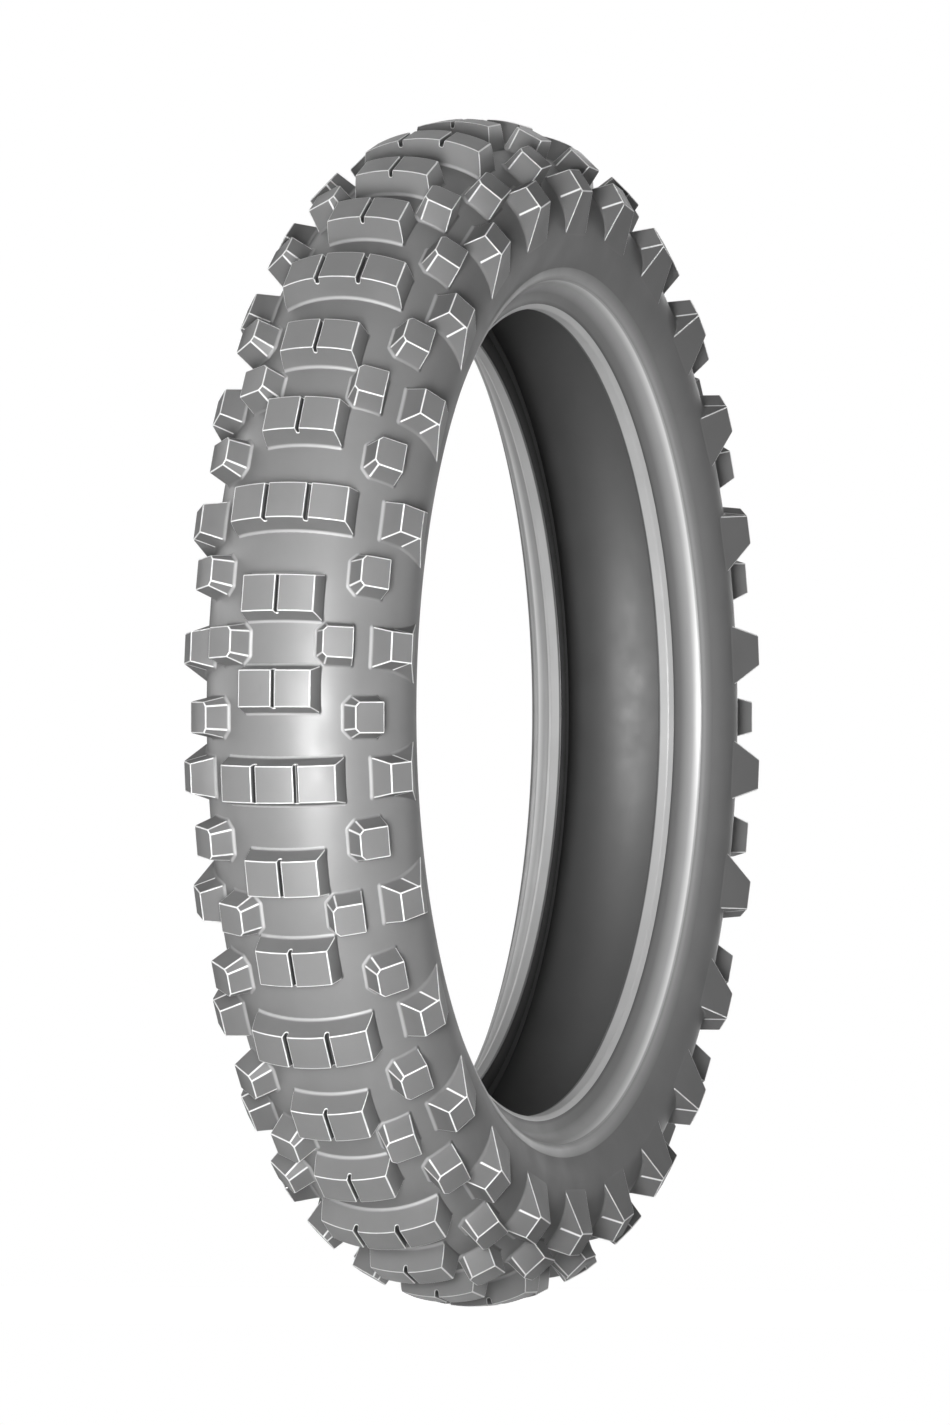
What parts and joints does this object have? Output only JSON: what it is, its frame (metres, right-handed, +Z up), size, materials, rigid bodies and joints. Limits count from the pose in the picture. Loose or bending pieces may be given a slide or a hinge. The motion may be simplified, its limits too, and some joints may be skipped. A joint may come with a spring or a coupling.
{
  "type": "motorcycle tyre",
  "caption": "Off-road motorcycle tyre with a knobbly tread, open beads for a spoked rim and a separate inner tube.",
  "frame": {"origin": "wheel centre: on the axle, midway between the two beads", "axes": "+Y along the axle, out of the tyre's right side; +Z up; +X across, square to both"},
  "size_m": [0.6732, 0.1358, 0.6727],
  "materials": {
    "tread_rubber": "moulded, matte",
    "sidewall_rubber": "moulded, satin",
    "rim_strip_rubber": "moulded, satin",
    "liner_rubber": "smooth, matte",
    "ply_fabric": "rubber-coated cord",
    "breaker_fabric": "rubber-coated cord",
    "bead_wire": "bronze-coated wire",
    "filler_rubber": "hard rubber",
    "chafer_fabric": "rubber-coated weave"
  },
  "bodies": {
    "root": {"tread": "tread_rubber", "sidewall_right": "sidewall_rubber", "sidewall_left": "sidewall_rubber", "rim_strip_right": "rim_strip_rubber", "rim_strip_left": "rim_strip_rubber", "inner_liner": "liner_rubber", "carcass_ply_inner": "ply_fabric", "carcass_ply_outer": "ply_fabric", "breaker_inner": "breaker_fabric", "breaker_outer": "breaker_fabric", "bead_core_right": "bead_wire", "bead_core_left": "bead_wire", "bead_filler_right": "filler_rubber", "bead_filler_left": "filler_rubber", "chafer_right": "chafer_fabric", "chafer_left": "chafer_fabric"}
  },
  "joints": []
}
